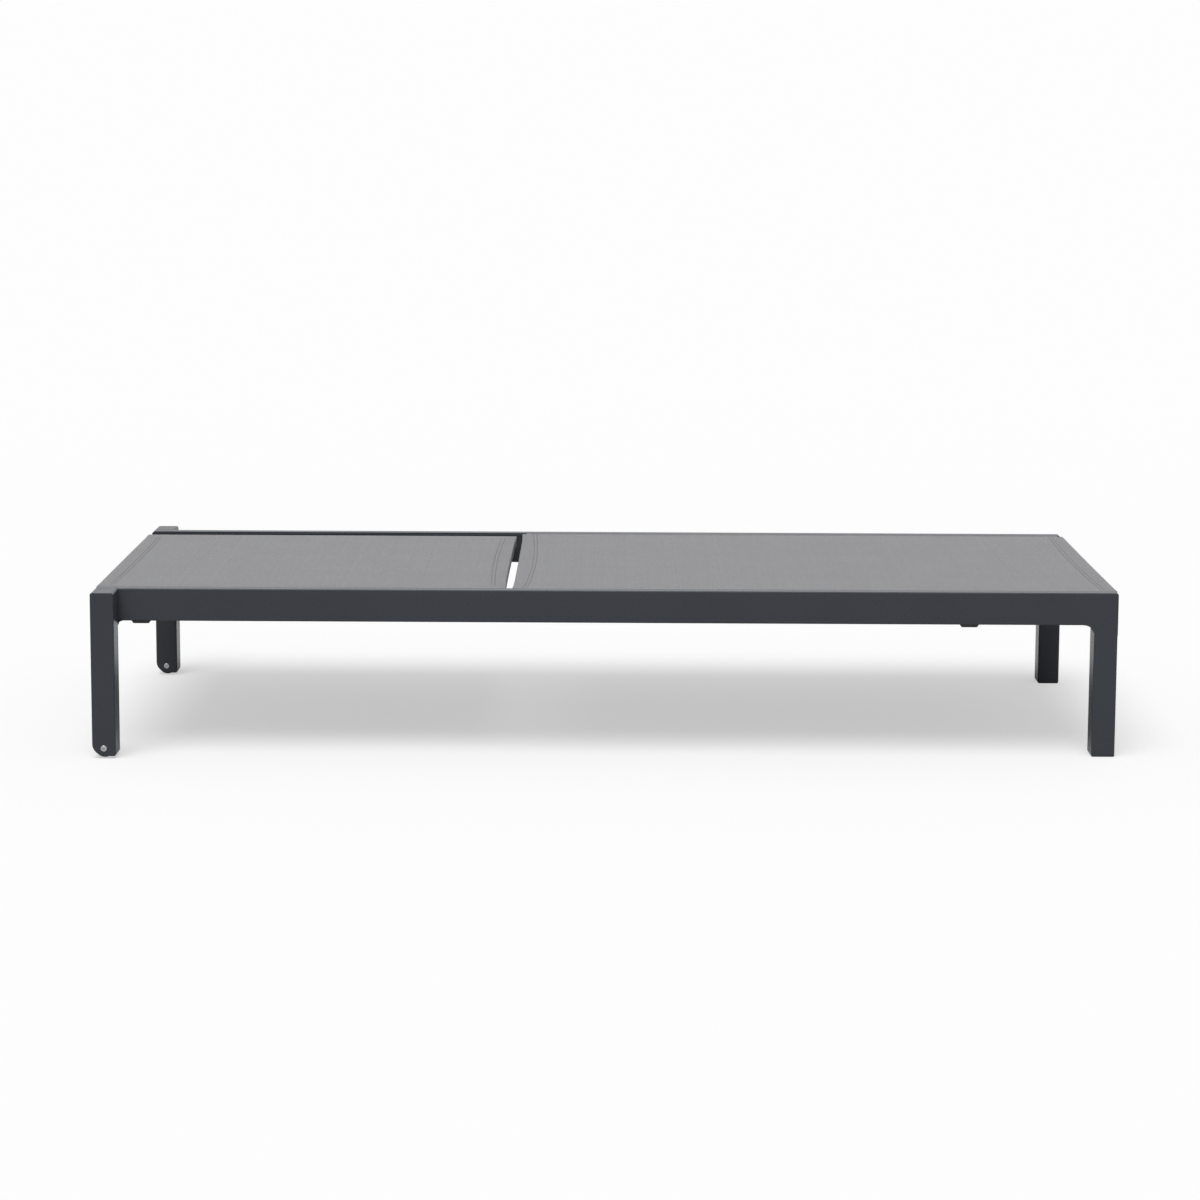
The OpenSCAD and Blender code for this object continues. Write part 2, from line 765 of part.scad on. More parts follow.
module back_tube_plugs() {
    block_in = back_keder_y - back_bore_d / 2 - tube_wall;
    color(black_colour) both_sides() for (end = [0, 1]) {
        face = end == 0 ? tube_x0 - plug_t : tube_x1;
        plug_x = end == 0 ? tube_x0 - cut : tube_x1 - plug_l;
        along_x(face, face + plug_t) rounded_rect(tube_in, tube_z, tube_out, tube_top, tube_edge_r);
        along_x(plug_x, plug_x + plug_l + cut)
            rect(tube_in + tube_wall + seat_fit, tube_z + tube_wall + seat_fit,
                block_in - seat_fit, tube_top - tube_wall - seat_fit);
    }
}

module back_head_tube() {
    sleeve_bar_at(head_x + sleeve_s / 2, tube_top, tube_in);
}

module back_hip_tube() {
    sleeve_bar_at(hip_x - sleeve_s / 2, tube_top, tube_in);
}

// Bowed tube that holds the side tubes apart, clear of the sling as it gives
module back_spreader() {
    bow_r = (tube_in * tube_in + spreader_sag * spreader_sag) / (2 * spreader_sag);
    half_angle = asin(tube_in / bow_r);
    bow_z = tube_z + tube_h / 2 - spreader_sag + bow_r;
    sweep = 2 * half_angle + 2;
    color(frame_colour) intersection() {
        translate([spreader_x, 0, bow_z]) rotate([90, 0, 90]) rotate([0, 0, -90 - sweep / 2])
            rotate_extrude(angle = sweep, $fn = 360) translate([bow_r, 0]) circle(d = spreader_d);
        box(spreader_x - spreader_d, -tube_in, 0, spreader_x + spreader_d, tube_in, top_z);
    }
}

// ---- Backrest hinge ----

// Side view of a bracket that hangs from a side tube and ends in an eye
module bracket_outline(x, eye_r) {
    translate([x, hinge_z]) circle(eye_r);
    polygon([[x - bracket_w / 2, tube_z], [x - eye_r, hinge_z],
        [x + eye_r, hinge_z], [x + bracket_w / 2, tube_z]]);
}

module hinge_bracket(side) {
    color(frame_colour) on_side(side) difference() {
        along_y(hinge_bracket_in, hinge_bracket_out) bracket_outline(hinge_x, hinge_eye_r);
        rod_y(hinge_x, hinge_z, hinge_d + 2 * bush_wall + 4 * run_gap,
            hinge_bracket_in - cut, hinge_bracket_out + cut);
    }
}

module hinge_bushes() {
    color(nylon_colour) both_sides() difference() {
        union() {
            rod_y(hinge_x, hinge_z, hinge_d + 2 * bush_wall + 2 * run_gap,
                hinge_bracket_in, hinge_bracket_out + cut);
            rod_y(hinge_x, hinge_z, bush_flange_d, hinge_bracket_out, hinge_bracket_out + bush_flange_t);
        }
        rod_y(hinge_x, hinge_z, hinge_d + 2 * run_gap, hinge_bracket_in - cut, boss_in);
    }
}

module hinge_boss(side) {
    color(frame_colour) on_side(side) difference() {
        union() {
            along_y(rail_in - boss_plate_t, rail_in)
                rounded_rect(hinge_x - boss_plate_l / 2, boss_plate_z, hinge_x + boss_plate_l / 2,
                    boss_plate_z + boss_plate_h, boss_plate_r);
            rod_y(hinge_x, hinge_z, boss_d, boss_in, rail_in - boss_plate_t / 2);
        }
        rod_y(hinge_x, hinge_z, hinge_d + 2 * seat_fit, boss_in - cut, rail_in + cut);
        for (end = [-1, 1])
            countersunk_y(hinge_x + end * boss_screw_x, hinge_z, boss_screw_d + 2 * bolt_fit,
                2 * boss_screw_d + 2 * bolt_fit, rail_in - boss_plate_t, rail_in + cut);
    }
}

module boss_screws() {
    color(steel_colour) both_sides() for (end = [-1, 1])
        countersunk_y(hinge_x + end * boss_screw_x, hinge_z, boss_screw_d, 2 * boss_screw_d,
            rail_in - boss_plate_t, rail_in);
}

module hinge_bolts() {
    color(steel_colour) both_sides() {
        rod_y(hinge_x, hinge_z, hinge_head_d,
            hinge_bracket_in - body_gap - hinge_head_t, hinge_bracket_in - body_gap);
        rod_y(hinge_x, hinge_z, hinge_d, hinge_bracket_in - body_gap - cut, rail_in);
    }
}

// ---- Prop stay ----

module stay_bracket(side) {
    color(frame_colour) on_side(side) difference() {
        along_y(stay_bracket_in, stay_bracket_out) bracket_outline(pivot_x, stay_eye_r);
        rod_y(pivot_x, hinge_z, stay_pin_d + 2 * seat_fit, stay_bracket_in - cut, stay_bracket_out + cut);
    }
}

module stay_pins() {
    color(steel_colour) both_sides() {
        rod_y(pivot_x, hinge_z, pin_head_d, arm_in - body_gap - pin_head_t, arm_in - body_gap);
        rod_y(pivot_x, hinge_z, stay_pin_d, arm_in - body_gap - cut,
            stay_bracket_out + pin_nut_t + pin_tail);
        rod_y(pivot_x, hinge_z, pin_head_d, stay_bracket_out, stay_bracket_out + pin_nut_t);
    }
}

module stay_arm(side) {
    color(frame_colour) on_side(side) difference() {
        along_y(arm_in, arm_out) {
            rect(rod_x, hinge_z - arm_h / 2, pivot_x, hinge_z + arm_h / 2);
            for (x = [rod_x, pivot_x]) translate([x, hinge_z]) circle(d = arm_h);
        }
        rod_y(pivot_x, hinge_z, stay_pin_d + 2 * run_gap, arm_in - cut, arm_out + cut);
        rod_y(rod_x, hinge_z, rod_d + 2 * seat_fit, arm_in - cut, arm_out + cut);
    }
}

module stay_rod() {
    color(frame_colour) rod_y(rod_x, hinge_z, rod_d, -slider_out, slider_out);
}

module stay_sliders() {
    color(nylon_colour) both_sides() difference() {
        rod_y(rod_x, hinge_z, slider_d, slider_in, slider_out);
        rod_y(rod_x, hinge_z, rod_d + 2 * seat_fit, slider_in - cut, slider_out + cut);
    }
}

module stay_washers() {
    color(nylon_colour) both_sides() difference() {
        rod_y(pivot_x, hinge_z, pin_head_d, arm_out + seat_fit, arm_out + seat_fit + washer_t);
        rod_y(pivot_x, hinge_z, stay_pin_d + 2 * seat_fit, arm_out - cut, stay_bracket_in);
    }
}

// ---- Racks ----

// What the slider's seat and the ramp towards the hinge take out of the rack
module notch_cut(x) {
    seat_z = tooth_z - notch_depth + notch_r;
    ramp_z = seat_z - notch_r * cos(ramp_angle);
    ramp_x = x + notch_r * sin(ramp_angle);
    translate([x, seat_z]) circle(notch_r);
    polygon([[x - notch_r, tooth_z + cut], [x - notch_r, seat_z], [x, seat_z], [ramp_x, ramp_z],
        [ramp_x + (tooth_z + cut - ramp_z) / tan(ramp_angle), tooth_z + cut]]);
}

// Places of the rack's screws: on the landing, and between the notches
rack_screw_xs = concat([rod_x + rack_screw_lead],
    [for (i = [0:notches - 2]) if (i != 1) (notch_xs[i] + notch_xs[i + 1]) / 2 + rack_screw_lead]);
rack_screw_z = (rack_z + tooth_z) / 2;

module rack(side) {
    color(nylon_colour) on_side(side) difference() {
        along_y(rack_in, rack_out) difference() {
            rect(rack_x0, rack_z, rack_x1, tooth_z);
            for (x = notch_xs) notch_cut(x);
        }
        for (x = rack_screw_xs)
            countersunk_y(x, rack_screw_z, rack_screw_d + 2 * bolt_fit, rack_screw_head_d + 2 * bolt_fit,
                rack_in, rack_out + cut);
    }
}

module rack_screws() {
    color(steel_colour) both_sides() for (x = rack_screw_xs)
        countersunk_y(x, rack_screw_z, rack_screw_d, rack_screw_head_d, rack_in, rack_out);
}

// ---- Stacking pads ----

module pad(x0) {
    difference() {
        along_y(pad_y - pad_w / 2, pad_y + pad_w / 2)
            polygon([[x0, rail_bottom], [x0 + pad_slope, rail_bottom - pad_h],
                [x0 + pad_l - pad_slope, rail_bottom - pad_h], [x0 + pad_l, rail_bottom]]);
        translate([x0 + pad_l / 2, pad_y, rail_bottom - pad_h - cut])
            cylinder(d = pad_screw_d + 2 * bolt_fit, h = pad_h + 2 * cut);
        translate([x0 + pad_l / 2, pad_y, rail_bottom - pad_h - cut])
            cylinder(d = pad_screw_head_d + 2 * bolt_fit, h = cut + pad_h / 2);
    }
}

module pad_screw(x0) {
    head_z = rail_bottom - pad_h / 2;
    translate([x0 + pad_l / 2, pad_y, head_z - pad_screw_head_t])
        cylinder(d = pad_screw_head_d, h = pad_screw_head_t);
    translate([x0 + pad_l / 2, pad_y, head_z - cut])
        cylinder(d = pad_screw_d, h = rail_bottom - head_z + cut);
}

module stacking_pads_head() {
    color(nylon_colour) both_sides() pad(head_x + pad_head - pad_l / 2);
}

module stacking_pads_foot() {
    color(black_colour) both_sides() pad(foot_x - pad_foot - pad_l / 2);
}

module pad_screws() {
    color(steel_colour) both_sides()
        for (x = [head_x + pad_head, foot_x - pad_foot]) pad_screw(x - pad_l / 2);
}

// ---- Nodes ----

rail(right);  // rail_right
rail(left);  // rail_left
rail_caps_head();
foot_leg(right);  // foot_leg_right
foot_leg(left);  // foot_leg_left
foot_glides();
head_leg(right);  // head_leg_right
head_leg(left);  // head_leg_left
head_leg_bolts();
wheel_axle(right);  // wheel_axle_right
wheel_axle(left);  // wheel_axle_left
axle_caps();
wheel_spacers();
wheel_hub(right);  // wheel_hub_right
wheel_tyre(right);  // wheel_tyre_right
wheel_hub(left);  // wheel_hub_left
wheel_tyre(left);  // wheel_tyre_left
seat_hip_tube();
seat_foot_tube();
brace_at(head_bar_x);  // head_crossbar
brace_at(foot_x - end_bar_inset);  // foot_crossbar
brace_at(hinge_x - hinge_brace);  // hinge_brace_bar
brace_at(seat_x + seat_brace_1);  // seat_brace_hip
brace_at(seat_x + seat_brace_2);  // seat_brace_foot
seat_sling();
seat_keder(right);  // seat_keder_right
seat_keder(left);  // seat_keder_left
hinge_boss(right);  // hinge_boss_right
hinge_boss(left);  // hinge_boss_left
boss_screws();
hinge_bolts();
rack(right);  // rack_right
rack(left);  // rack_left
rack_screws();
rest_buffers();
stacking_pads_head();
stacking_pads_foot();
pad_screws();
back_tube(right);  // back_tube_right
back_tube(left);  // back_tube_left
back_tube_plugs();
back_head_tube();
back_hip_tube();
back_spreader();
back_sling();
back_keder(right);  // back_keder_right
back_keder(left);  // back_keder_left
hinge_bracket(right);  // hinge_bracket_right
hinge_bracket(left);  // hinge_bracket_left
hinge_bushes();
stay_bracket(right);  // stay_bracket_right
stay_bracket(left);  // stay_bracket_left
stay_pins();
stay_arm(right);  // stay_arm_right
stay_arm(left);  // stay_arm_left
stay_rod();
stay_sliders();
stay_washers();
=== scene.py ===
"""Looks of the reclining sun lounger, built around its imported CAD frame.

Lengths are in metres and places in the CAD's frame: +X points to the foot end, +Y to the left of
a person lying on the lounger, +Z up, and the origin is on the ground, in the middle.
"""

import json
import math

import bmesh
import bpy
from mathutils import Matrix, Vector


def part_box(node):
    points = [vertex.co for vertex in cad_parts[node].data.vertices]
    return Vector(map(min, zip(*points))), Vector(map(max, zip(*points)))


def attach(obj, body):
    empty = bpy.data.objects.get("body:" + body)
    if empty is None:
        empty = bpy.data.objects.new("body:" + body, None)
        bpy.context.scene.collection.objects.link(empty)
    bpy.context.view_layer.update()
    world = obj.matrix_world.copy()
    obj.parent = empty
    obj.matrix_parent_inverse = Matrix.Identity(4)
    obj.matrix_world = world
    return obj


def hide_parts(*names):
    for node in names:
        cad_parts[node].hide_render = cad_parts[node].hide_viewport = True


MM = 0.001

# ---- Fabric of the slings ----

CLOTH_T = 1.1 * MM
CLOTH_GAP = 0.3 * MM  # between the fabric and what it wraps
YARN = 1.1 * MM  # pitch of the weave
COLUMNS = 97  # vertices across a sling
FIELD_ROWS = 70  # rows of faces between a sling's two hems
SEAT_SAG = 2.0 * MM
BACK_SAG = 1.5 * MM
SAG_POWER = 0.7  # below 1, so that the sag sets in soon after the bars

# ---- Hems ----

SLEEVE_WRAP = 1.5 * MM  # from the face of a bar to the outside of the hem round it
HEM_EDGE_R = 2.2 * MM  # of the middle of the fabric where a hem turns a corner of its square bar
HEM_L = 75 * MM  # from a sling's end to where its rows of stitches no longer show
SOFT_L = 9 * MM  # from a sling's end, the length that gives where a hem stands off its bar
TAIL = 3 * MM  # how far a hem's turned-in layer goes past its last row of stitches
LAYER_GAP = 0.4 * MM  # between a hem's layers where no stitch pulls them together
SHADE_END = 1 * MM  # from a hem's last row to where its painted shade starts to fade
SHADE_FADE = 2 * MM  # length over which it fades
END_STEPS = (8 * MM, 12 * MM, 15.5 * MM)  # vertices between a hem's end and its first row
ROW_STEPS = [k * 0.6 * MM for k in (-2, -1.3, -0.7, 0, 0.7, 1.3, 2)]  # vertices near a row
TAIL_TURN = 0.5 * MM  # how far past the first row the turned-in layer leaves the upper one
FIELD_STEPS = (TAIL, TAIL + 2 * MM, 10 * MM, 20 * MM)  # vertices past the last row

# Distance of each hem's two rows of stitches from the sling's end,
# on the right side, in the middle and on the left side
SEAT_HIP_ROWS = [(20 * MM, 31 * MM, 22 * MM), (27 * MM, 38 * MM, 29.5 * MM)]
SEAT_FOOT_ROWS = [(20 * MM, 27 * MM, 20 * MM), (27.5 * MM, 35 * MM, 27 * MM)]
BACK_HEAD_ROWS = [(20 * MM, 24 * MM, 20 * MM), (26.5 * MM, 31 * MM, 26.5 * MM)]
BACK_HIP_ROWS = [(20 * MM, 26.5 * MM, 21 * MM), (26.5 * MM, 33.5 * MM, 28 * MM)]

# How far each hem stands off its bar, as the terms of a curve across the sling: in the middle,
# the slope to the left, the bow, and the flare at the corners
SEAT_HIP_OFF = (-0.3 * MM, -0.3 * MM, 0.2 * MM, 2.7 * MM)
SEAT_FOOT_OFF = (3.1 * MM, 1.3 * MM, 1.1 * MM, 0.0)
BACK_HEAD_OFF = (6.0 * MM, 0.9 * MM, -0.6 * MM, 0.0)
BACK_HIP_OFF = (0.1 * MM, 1.0 * MM, 1.2 * MM, 1.5 * MM)

# ---- Stitches ----

STITCH_PITCH = 4.4 * MM
STITCH_L = 3.5 * MM
THREAD_R = 0.42 * MM
THREAD_SIDES = 6
STITCH_AT = (-0.5, -0.25, 0.0, 0.25, 0.5)  # places along a stitch, as parts of its length
STITCH_SWELL = (0.45, 0.95, 1.0, 0.95, 0.45)  # thickness there, as parts of the thickest
STITCH_SINK = (0.55, 0.1, 0.0, 0.1, 0.55)  # how deep it sinks into the fabric, in thread radii
THREAD_PROUD = 0.15 * MM  # from the fabric's face to the middle of a hem's thread
SEAM_PROUD = 0.1 * MM  # the same for a side seam's thread
ROW_MARGIN = 4 * MM  # from a sling's side to where a hem's rows may start
GROOVE = 0.8 * MM  # greatest depth of the groove that a row of stitches pulls into the fabric
GROOVE_W = 0.9 * MM
PULL = 0.62  # how hard a row pulls on average, as a part of the hardest
PUCKERS = ((0.2, 17.0), (0.18, 41.0))  # waves in the pull: height, and radians to a half width
PUCKER_PHASE = 900  # radians for each metre of a row's three distances together

# ---- The slings' sides ----

SEAM_IN = 5 * MM  # from a keder cord to the seam that closes its pocket
SEAM_END = 31 * MM  # from the seat sling's ends to the ends of its side seams
STRIP_END = 3.5 * MM  # from the seat sling's ends to the ends of its side strips
KEDER_SLACK = 0.4 * MM  # from the middle of a rail's keder channel to the fabric in its mouth
KEDER_BEND = 1.0 * MM  # radius at which the fabric turns into a channel
KEDER_DROP = 2.5 * MM  # depth to which it then goes straight down in a rail
# Before a rail's channel the fabric rises to the rail's top: distances before the channel's
# middle, and the parts of the rise reached there
RAIL_RISE = ((4.5 * MM, 0.2), (3.2 * MM, 0.8))
TUBE_EDGE_R = 3 * MM  # of the backrest's side tubes
TUBE_STEPS = (8 * MM, 16 * MM)  # vertices on a side tube's top, from its inner side
UNDER_STEP = 3 * MM  # the last one under the tube, from the channel's middle
# The ends of the fabric round a side tube: distances from the sling's end, and how far the
# fabric is drawn in there
WRAP_ENDS = ((0.7 * MM, 1.6 * MM), (1.2 * MM, 0.7 * MM), (2.0 * MM, 0.15 * MM), (3.0 * MM, 0.0))
WRAP_END_L = SOFT_L - 2 * MM  # from the sling's end to where the wrap joins the sling's own rows

# ---- Weld beads ----

WELD_R = 2.2 * MM  # on the frame's bars
SPREADER_WELD_R = 0.8 * WELD_R
BRACKET_WELD_R = 0.7 * WELD_R
WELD_SIDES = 10
WELD_IN = 0.5 * MM  # from the end of a bar to the middle of its bead
BRACKET_WELD_IN = 4 * MM  # from the ends of a bracket to the ends of its bead
BRACKET_WELD_LOW = 0.3 * MM  # from the top of a bracket to the middle of its bead
BAR_CORNER_R = 2 * MM
RIPPLE = 2.4 * MM  # length of one ripple of a bead
RIPPLE_DEPTH = 0.12  # as a part of the bead's radius
RIPPLE_STEPS = 4  # rings of vertices to a ripple
NEARLY_ROUND = 0.999  # corner of a round bar's section, in radii, so that no side has length 0

# ---- Colours and finishes; colours are linear values, and noise scales are waves to the metre ----

ANTHRACITE = (0.056, 0.062, 0.074)
COAT_ROUGH = (0.27, 0.35)
COAT_IOR = 1.29
COAT_GRAIN, COAT_PEEL, COAT_CLOUDS = 1500, 260, 5
SLING_GREY = (0.249, 0.249, 0.258)
HEM_PAINTED_SHADE = 0.955  # painted shade on the fabric where a hem doubles it, for the light that two layers let through less
CLOTH_ROUGH = (0.50, 0.62)
CLOTH_IOR = 1.46
CLOTH_SLUBS, CLOTH_CLOUDS = 250, 9
YARN_LOW, YARN_HIGH = 0.72, 1.05  # painted shade in the gaps between the yarns, and painted light on their crowns
CROWN = 0.55  # height of the weave from which a yarn has the full painted light of its crown
WARP_SEED, WEFT_SEED = 7.0, 31.0
TURNED = 0.75  # part of a normal from which a face counts as facing that way
THREAD_GREY = (0.07, 0.07, 0.074)
THREAD_TWIST = 2600
NYLON_BLACK = (0.022, 0.023, 0.025)
RUBBER_BLACK = (0.015, 0.015, 0.016)
MOULD_SPREAD = 0.06  # by which a moulded surface's roughness varies
STEEL = (0.40, 0.405, 0.41)
STEEL_ROUGH = (0.40, 0.50)
STEEL_MARKS = 1200
SHARP_EDGE = 40  # degrees from which an edge isn't smoothed
SHARP_CLOTH_EDGE = 50

# ---- Studio ----

CAMERA_AT = Vector((-0.00548, -5.48230, 1.29916))
CAMERA_LENS = 80.10
CAMERA_SENSOR = 36
CAMERA_SHIFT = -0.167
CAMERA_PITCH = 0.1157  # this and the next two are in radians
CAMERA_YAW = -0.0017
CAMERA_ROLL = 0.0046
CAMERA_REACH = 500  # how far it sees
WHITE = 0.985  # of the backdrop
SKY = 0.54  # the world's light on the object from straight above; it falls off to the horizon
KEY_POWER = 2.15
KEY_ANGLE = 40  # degrees that the key light's disc spans
KEY_FRONT = 20  # degrees from overhead towards the camera
KEY_HEAD = 8  # degrees from overhead towards the head end
FLOOR_REACH = 120
FLOOR_GLOW = 0.52  # share of plain white in what the camera itself sees of the floor nearby
FLOOR_BOUNCE = 0.45  # the floor's colour as the object's undersides see it
FADE = (2.5, 6.0)  # distances over which the floor turns into the backdrop

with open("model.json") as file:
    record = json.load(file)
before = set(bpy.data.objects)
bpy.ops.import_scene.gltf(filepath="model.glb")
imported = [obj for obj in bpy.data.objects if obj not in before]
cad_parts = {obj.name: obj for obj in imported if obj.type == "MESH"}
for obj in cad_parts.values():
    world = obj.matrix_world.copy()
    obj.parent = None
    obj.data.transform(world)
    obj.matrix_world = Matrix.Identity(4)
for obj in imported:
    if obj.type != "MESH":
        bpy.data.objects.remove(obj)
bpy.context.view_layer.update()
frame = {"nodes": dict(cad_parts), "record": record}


# ---- Nodes of materials ----


class Nodes:
    """A node tree, with short calls for the few kinds of node that are used here."""

    def __init__(self, tree):
        self.tree = tree

    def new(self, kind):
        return self.tree.nodes.new("ShaderNode" + kind)

    def link(self, value, socket):
        """Links an output to a socket, or sets the socket where the value is a number or a colour."""
        if isinstance(value, bpy.types.NodeSocket):
            self.tree.links.new(value, socket)
        else:
            socket.default_value = value

    def math(self, operation, a, b=0.0, c=0.0):
        node = self.new("Math")
        node.operation = operation
        for value, socket in zip((a, b, c), node.inputs):
            self.link(value, socket)
        return node.outputs[0]

    def ramp(self, value, low, high, to_low=0.0, to_high=1.0, kind="SMOOTHSTEP"):
        """A smooth or linear step as the value goes from low to high."""
        node = self.new("MapRange")
        node.interpolation_type = kind
        for v, socket in zip((value, low, high, to_low, to_high), node.inputs):
            self.link(v, socket)
        return node.outputs[0]

    def mix_shaders(self, share, a, b):
        node = self.new("MixShader")
        for value, socket in zip((share, a, b), node.inputs):
            self.link(value, socket)
        return node.outputs[0]

    def seen_ray(self):
        """1 for the rays by which the camera sees something, directly or in a reflection."""
        path = self.new("LightPath")
        total = path.outputs["Is Camera Ray"]
        for kind in ("Is Glossy Ray", "Is Transmission Ray"):
            total = self.math("MAXIMUM", total, path.outputs[kind])
        return total


class Shader(Nodes):
    """A material with a Principled surface."""

    def __init__(self, name):
        self.material = bpy.data.materials.new(name)
        self.material.use_nodes = True
        super().__init__(self.material.node_tree)
        self.surface = self.tree.nodes["Principled BSDF"]
        self.place = self.new("TexCoord")

    def vary(self, value, amount, low=0.3, high=0.7):
        """A factor that goes from 1 less the amount to 1 plus it as the value goes from low to high.

        Most of a noise lies between the low and high that are taken without others."""
        return self.ramp(value, low, high, 1 - amount, 1 + amount)

    def pick(self, factor, a, b):
        node = self.new("Mix")
        node.data_type = "FLOAT"
        self.link(factor, node.inputs["Factor"])
        self.link(a, node.inputs[2])
        self.link(b, node.inputs[3])
        return node.outputs[0]

    def tint(self, colour, factor):
        """The colour times a factor that varies over the surface."""
        node = self.new("VectorMath")
        node.operation = "SCALE"
        node.inputs[0].default_value = colour
        self.link(factor, node.inputs["Scale"])
        return node.outputs[0]

    def noise(self, scale, detail=2.0, roughness=0.5):
        node = self.new("TexNoise")
        self.link(self.place.outputs["Object"], node.inputs["Vector"])
        node.inputs["Scale"].default_value = scale
        node.inputs["Detail"].default_value = detail
        node.inputs["Roughness"].default_value = roughness
        return node.outputs[0]

    def random(self, x, y=0.0):
        """A random number for each pair of whole numbers."""
        at = self.new("CombineXYZ")
        self.link(x, at.inputs[0])
        self.link(y, at.inputs[1])
        node = self.new("TexWhiteNoise")
        node.noise_dimensions = "2D"
        self.link(at.outputs[0], node.inputs["Vector"])
        return node.outputs["Value"]

    def axes(self, output):
        """The three parts of a vector, such as a place or a normal."""
        node = self.new("SeparateXYZ")
        self.link(self.place.outputs[output], node.inputs[0])
        return node.outputs

    def bump(self, height, strength, distance, under=None):
        node = self.new("Bump")
        node.inputs["Strength"].default_value = strength
        node.inputs["Distance"].default_value = distance
        self.link(height, node.inputs["Height"])
        if under is not None:
            self.link(under, node.inputs["Normal"])
        return node.outputs[0]

    def set(self, **sockets):
        """Sets or links the surface's sockets, named in small letters with _ for each space."""
        for socket in self.surface.inputs:
            key = socket.name.lower().replace(" ", "_")
            if key in sockets:
                self.link(sockets.pop(key), socket)
        assert not sockets, sockets


def powder_coat():
    """Fine-textured matt powder coat on aluminium."""
    s = Shader("anthracite_powder_coat")
    grain = s.noise(COAT_GRAIN, detail=3.0, roughness=0.6)
    orange_peel = s.noise(COAT_PEEL, detail=1.0)
    clouds = s.noise(COAT_CLOUDS)
    fine = s.bump(grain, strength=0.18, distance=0.06 * MM)
    s.set(
        base_color=s.tint(ANTHRACITE, s.math("MULTIPLY", s.vary(grain, 0.12), s.vary(clouds, 0.03))),
        roughness=s.ramp(orange_peel, 0.3, 0.7, *COAT_ROUGH),
        ior=COAT_IOR,
        normal=s.bump(orange_peel, strength=0.12, distance=0.1 * MM, under=fine),
    )
    return s.material


def woven_sling():
    """Plain weave of PVC-coated yarns, drawn on the fabric's own plane wherever it turns."""
    s = Shader("woven_sling")
    at, facing = s.axes("Object"), s.axes("Normal")
    ends = s.math("GREATER_THAN", s.math("ABSOLUTE", facing[0]), TURNED)
    sides = s.math("GREATER_THAN", s.math("ABSOLUTE", facing[1]), TURNED)
    along = s.math("DIVIDE", s.pick(ends, at[0], at[2]), YARN)
    across = s.math("DIVIDE", s.pick(sides, at[1], at[2]), YARN)
    weft, warp = s.math("FLOOR", along), s.math("FLOOR", across)
    weft_round = s.math("SINE", s.math("MULTIPLY", s.math("FRACT", along), math.pi))
    warp_round = s.math("SINE", s.math("MULTIPLY", s.math("FRACT", across), math.pi))
    weft_over = s.math("PINGPONG", s.math("ADD", weft, warp), 1.0)
    crown_warp = s.math("MULTIPLY", warp_round, s.math("MULTIPLY_ADD", weft_round, 0.5, 0.5))
    crown_weft = s.math("MULTIPLY", weft_round, s.math("MULTIPLY_ADD", warp_round, 0.5, 0.5))
    height = s.pick(weft_over, crown_warp, crown_weft)
    # Yarns differ a little from each other and along themselves
    yarn_shade = s.pick(weft_over, s.random(warp, WARP_SEED), s.random(weft, WEFT_SEED))
    cell_shade = s.random(weft, warp)
    # The hem attribute sets the painted shade where a hem doubles the fabric, for the light that two
    # layers let through less
    hem = s.new("Attribute")
    hem.attribute_name = "hem"
    # Painted shade in the weave's gaps and painted light on the yarns' crowns, times the yarns' own
    # tones and the hems' painted shade
    tone_and_painted_shade = s.ramp(height, 0.0, CROWN, YARN_LOW, YARN_HIGH)
    for factor in (
        s.vary(yarn_shade, 0.07, 0.0, 1.0),
        s.vary(cell_shade, 0.20, 0.0, 1.0),
        s.vary(s.noise(CLOTH_SLUBS, detail=1.0), 0.08),
        s.vary(s.noise(CLOTH_CLOUDS, detail=3.0), 0.02),
        s.ramp(hem.outputs["Fac"], 0.0, 1.0, 1.0, HEM_PAINTED_SHADE),
    ):
        tone_and_painted_shade = s.math("MULTIPLY", tone_and_painted_shade, factor)
    s.set(
        base_color=s.tint(SLING_GREY, tone_and_painted_shade),
        roughness=s.ramp(cell_shade, 0.0, 1.0, *CLOTH_ROUGH),
        ior=CLOTH_IOR,
        sheen_weight=0.10,
        sheen_roughness=0.4,
        normal=s.bump(height, strength=0.7, distance=0.35 * MM),
    )
    return s.material


def thread():
    """Twisted sewing thread."""
    s = Shader("sewing_thread")
    twist = s.noise(THREAD_TWIST, detail=1.0)
    s.set(
        base_color=s.tint(THREAD_GREY, s.vary(twist, 0.2)),
        roughness=0.6,
        normal=s.bump(twist, strength=0.4, distance=0.1 * MM),
    )
    return s.material


def moulded(name, colour, roughness, grain_scale):
    """Plastic or rubber with a finely eroded mould surface."""
    s = Shader(name)
    grain = s.noise(grain_scale)
    s.set(
        base_color=s.tint(colour, s.vary(grain, 0.15)),
        roughness=s.ramp(grain, 0.2, 0.8, roughness - MOULD_SPREAD, roughness + MOULD_SPREAD),
        normal=s.bump(grain, strength=0.25, distance=0.08 * MM),
    )
    return s.material


def stainless():
    """Turned and passivated stainless steel."""
    s = Shader("stainless_steel")
    tool_marks = s.noise(STEEL_MARKS)
    s.set(
        base_color=s.tint(STEEL, s.vary(tool_marks, 0.06)),
        metallic=1.0,
        roughness=s.ramp(tool_marks, 0.2, 0.8, *STEEL_ROUGH),
        normal=s.bump(tool_marks, strength=0.12, distance=0.05 * MM),
    )
    return s.material


finishes = {
    "powder_coat": powder_coat(),
    "sling": woven_sling(),
    "keder": moulded("keder_pvc", RUBBER_BLACK, roughness=0.45, grain_scale=900),
    "stainless": stainless(),
    "nylon": moulded("dark_nylon", NYLON_BLACK, roughness=0.5, grain_scale=1100),
    "rubber": moulded("black_rubber", RUBBER_BLACK, roughness=0.62, grain_scale=1400),
}
thread_finish = thread()

